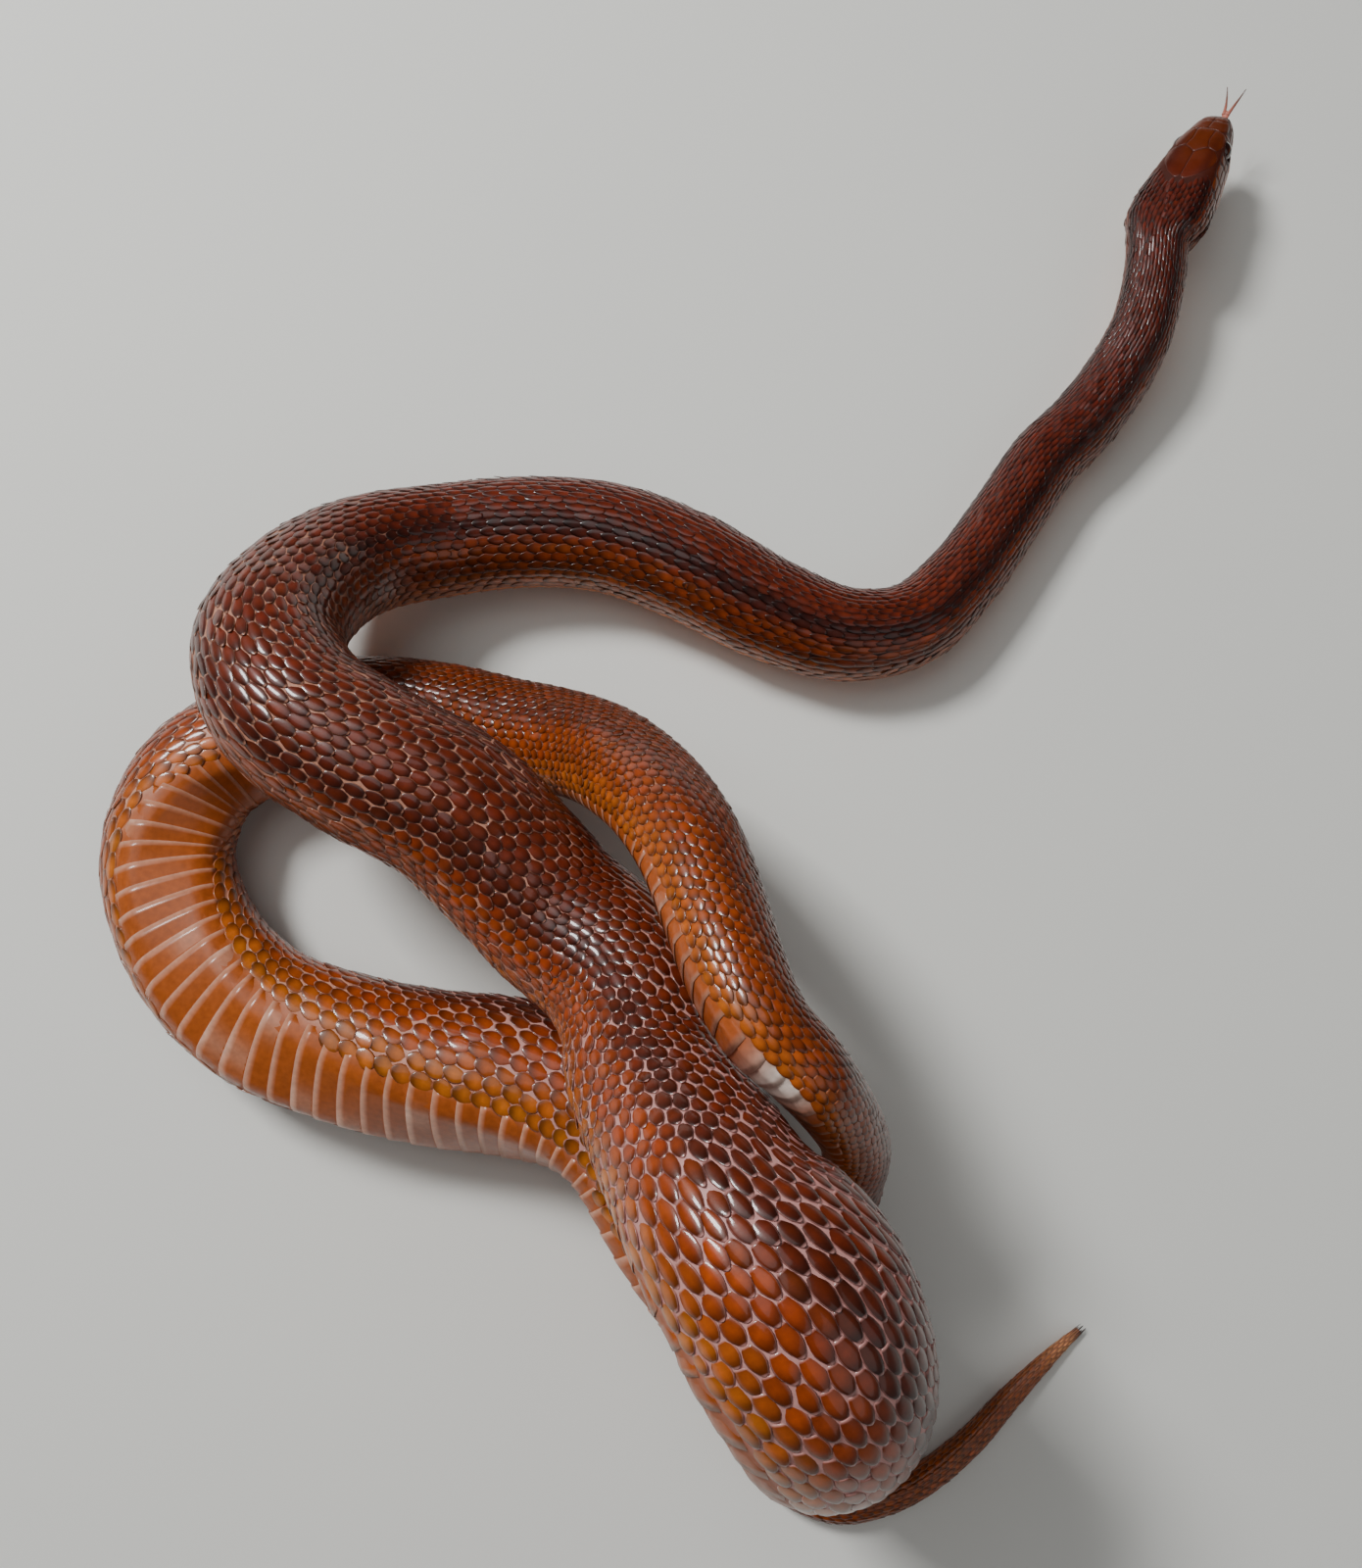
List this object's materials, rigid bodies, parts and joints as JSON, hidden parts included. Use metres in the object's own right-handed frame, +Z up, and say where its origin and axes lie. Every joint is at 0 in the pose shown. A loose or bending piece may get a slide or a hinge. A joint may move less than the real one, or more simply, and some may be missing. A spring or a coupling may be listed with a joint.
{
  "type": "corn snake",
  "caption": "Corn snake lying in a loose coil with a raised fold, head lifted clear of the floor and forked tongue out; belly scutes are raised plates.",
  "frame": {"origin": "middle of the bounding box, on the floor the snake lies on", "axes": "+Z up; +Y towards the snout end of the coil, +X to the right of a viewer who looks along +Y"},
  "size_m": [0.2292, 0.2846, 0.081],
  "materials": {
    "head": "smooth scales with a soft gloss",
    "eye_left": "glossy",
    "eye_right": "glossy",
    "tongue": "smooth scales with a soft gloss",
    "neck": "smooth scales with a soft gloss",
    "fore_body_1": "smooth scales with a soft gloss",
    "fore_body_2": "smooth scales with a soft gloss",
    "fore_body_3": "smooth scales with a soft gloss",
    "left_bend": "smooth scales with a soft gloss",
    "mid_body_1": "smooth scales with a soft gloss",
    "mid_body_2": "smooth scales with a soft gloss",
    "arch_rise": "smooth scales with a soft gloss",
    "arch_fold": "smooth scales with a soft gloss",
    "arch_return": "smooth scales with a soft gloss",
    "mid_body_3": "smooth scales with a soft gloss",
    "mid_body_4": "smooth scales with a soft gloss",
    "hind_loop": "smooth scales with a soft gloss",
    "hind_body_1": "smooth scales with a soft gloss",
    "hind_body_2": "smooth scales with a soft gloss",
    "hind_body_3": "smooth scales with a soft gloss",
    "tail_base": "smooth scales with a soft gloss",
    "tail_middle": "smooth scales with a soft gloss",
    "tail_end": "smooth scales with a soft gloss"
  },
  "bodies": {
    "root": {"head": "head", "eye_left": "eye_left", "eye_right": "eye_right", "tongue": "tongue", "neck": "neck", "fore_body_1": "fore_body_1", "fore_body_2": "fore_body_2", "fore_body_3": "fore_body_3", "left_bend": "left_bend", "mid_body_1": "mid_body_1", "mid_body_2": "mid_body_2", "arch_rise": "arch_rise", "arch_fold": "arch_fold", "arch_return": "arch_return", "mid_body_3": "mid_body_3", "mid_body_4": "mid_body_4", "hind_loop": "hind_loop", "hind_body_1": "hind_body_1", "hind_body_2": "hind_body_2", "hind_body_3": "hind_body_3", "tail_base": "tail_base", "tail_middle": "tail_middle", "tail_end": "tail_end"}
  },
  "joints": []
}
